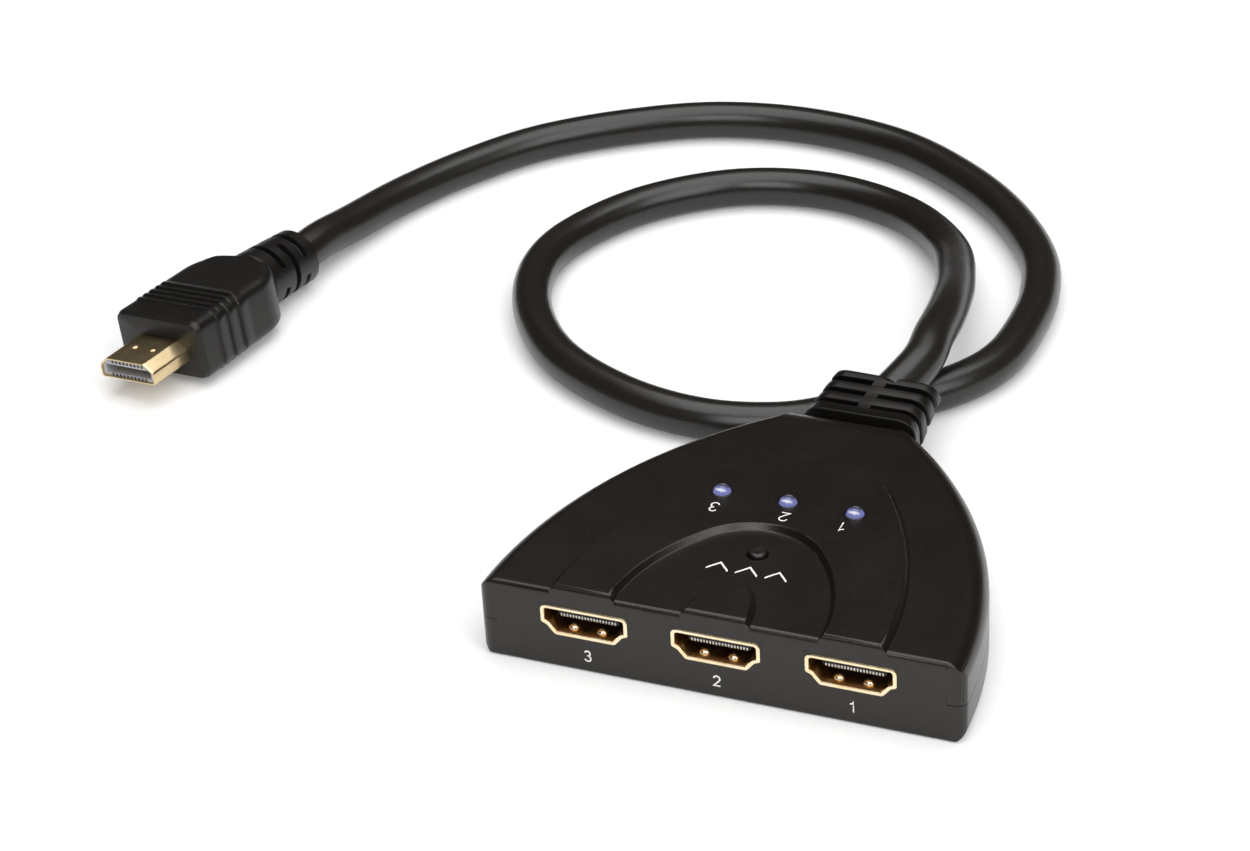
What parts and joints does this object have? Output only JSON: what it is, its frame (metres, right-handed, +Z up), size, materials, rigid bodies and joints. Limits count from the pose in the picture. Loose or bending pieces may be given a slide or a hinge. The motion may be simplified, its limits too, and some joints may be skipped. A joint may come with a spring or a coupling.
{
  "type": "video switch box",
  "caption": "Low black box with bowed sides, a row of video sockets, a select button with lights beside it and a captive output cable that ends in a plug.",
  "frame": {"origin": "middle of the case's flat base, half way between the socket face and the cable end", "axes": "+Z up, -Y out of the socket face, +Y along the cable's exit, +X to the right for a viewer who faces the sockets, so socket 1 is at +X"},
  "size_m": [0.1968, 0.2062, 0.0189],
  "materials": {
    "case_black": "fine-textured satin black moulding",
    "button_black": "smooth black moulding",
    "boot_rubber": "satin black flexible moulding",
    "cable_jacket": "semi-gloss black jacket",
    "plug_black": "satin black moulding",
    "gold_plate": "thin gold plate on pressed sheet",
    "contact_metal": "plated contact strips",
    "insulator_black": "black connector body",
    "led_lens": "clear round lens, lit blue-white",
    "steel": "plain plated steel",
    "board": "green solder mask",
    "chip_black": "black moulded package",
    "ceramic": "tan ceramic",
    "wire_insulation": "pale wire insulation"
  },
  "bodies": {
    "case": {"top_cover": "case_black", "bottom_cover": "case_black", "case_screws": "steel", "circuit_board": "board", "port_1_shell": "gold_plate", "port_1_insulator": "insulator_black", "port_1_contacts": "contact_metal", "port_2_shell": "gold_plate", "port_2_insulator": "insulator_black", "port_2_contacts": "contact_metal", "port_3_shell": "gold_plate", "port_3_insulator": "insulator_black", "port_3_contacts": "contact_metal", "switch_base": "chip_black", "switch_frame": "steel", "switch_dome": "steel", "switch_terminals": "steel", "led_1": "led_lens", "led_2": "led_lens", "led_3": "led_lens", "led_leads": "steel", "switch_chip": "chip_black", "chip_leads": "steel", "regulator": "chip_black", "capacitors": "ceramic", "resistors": "chip_black", "cable_wires": "wire_insulation", "cable_boot": "boot_rubber", "cable": "cable_jacket", "plug_housing": "plug_black", "plug_shell": "gold_plate", "plug_insulator": "insulator_black", "plug_contacts": "contact_metal"},
    "button": {"select_button": "button_black"}
  },
  "joints": [
    {"name": "select_press", "type": "slide", "parent": "case", "child": "button", "axis": [0, 0, -1], "range_m": [0, 0.00025], "stiffness_N_per_m": 6000}
  ]
}
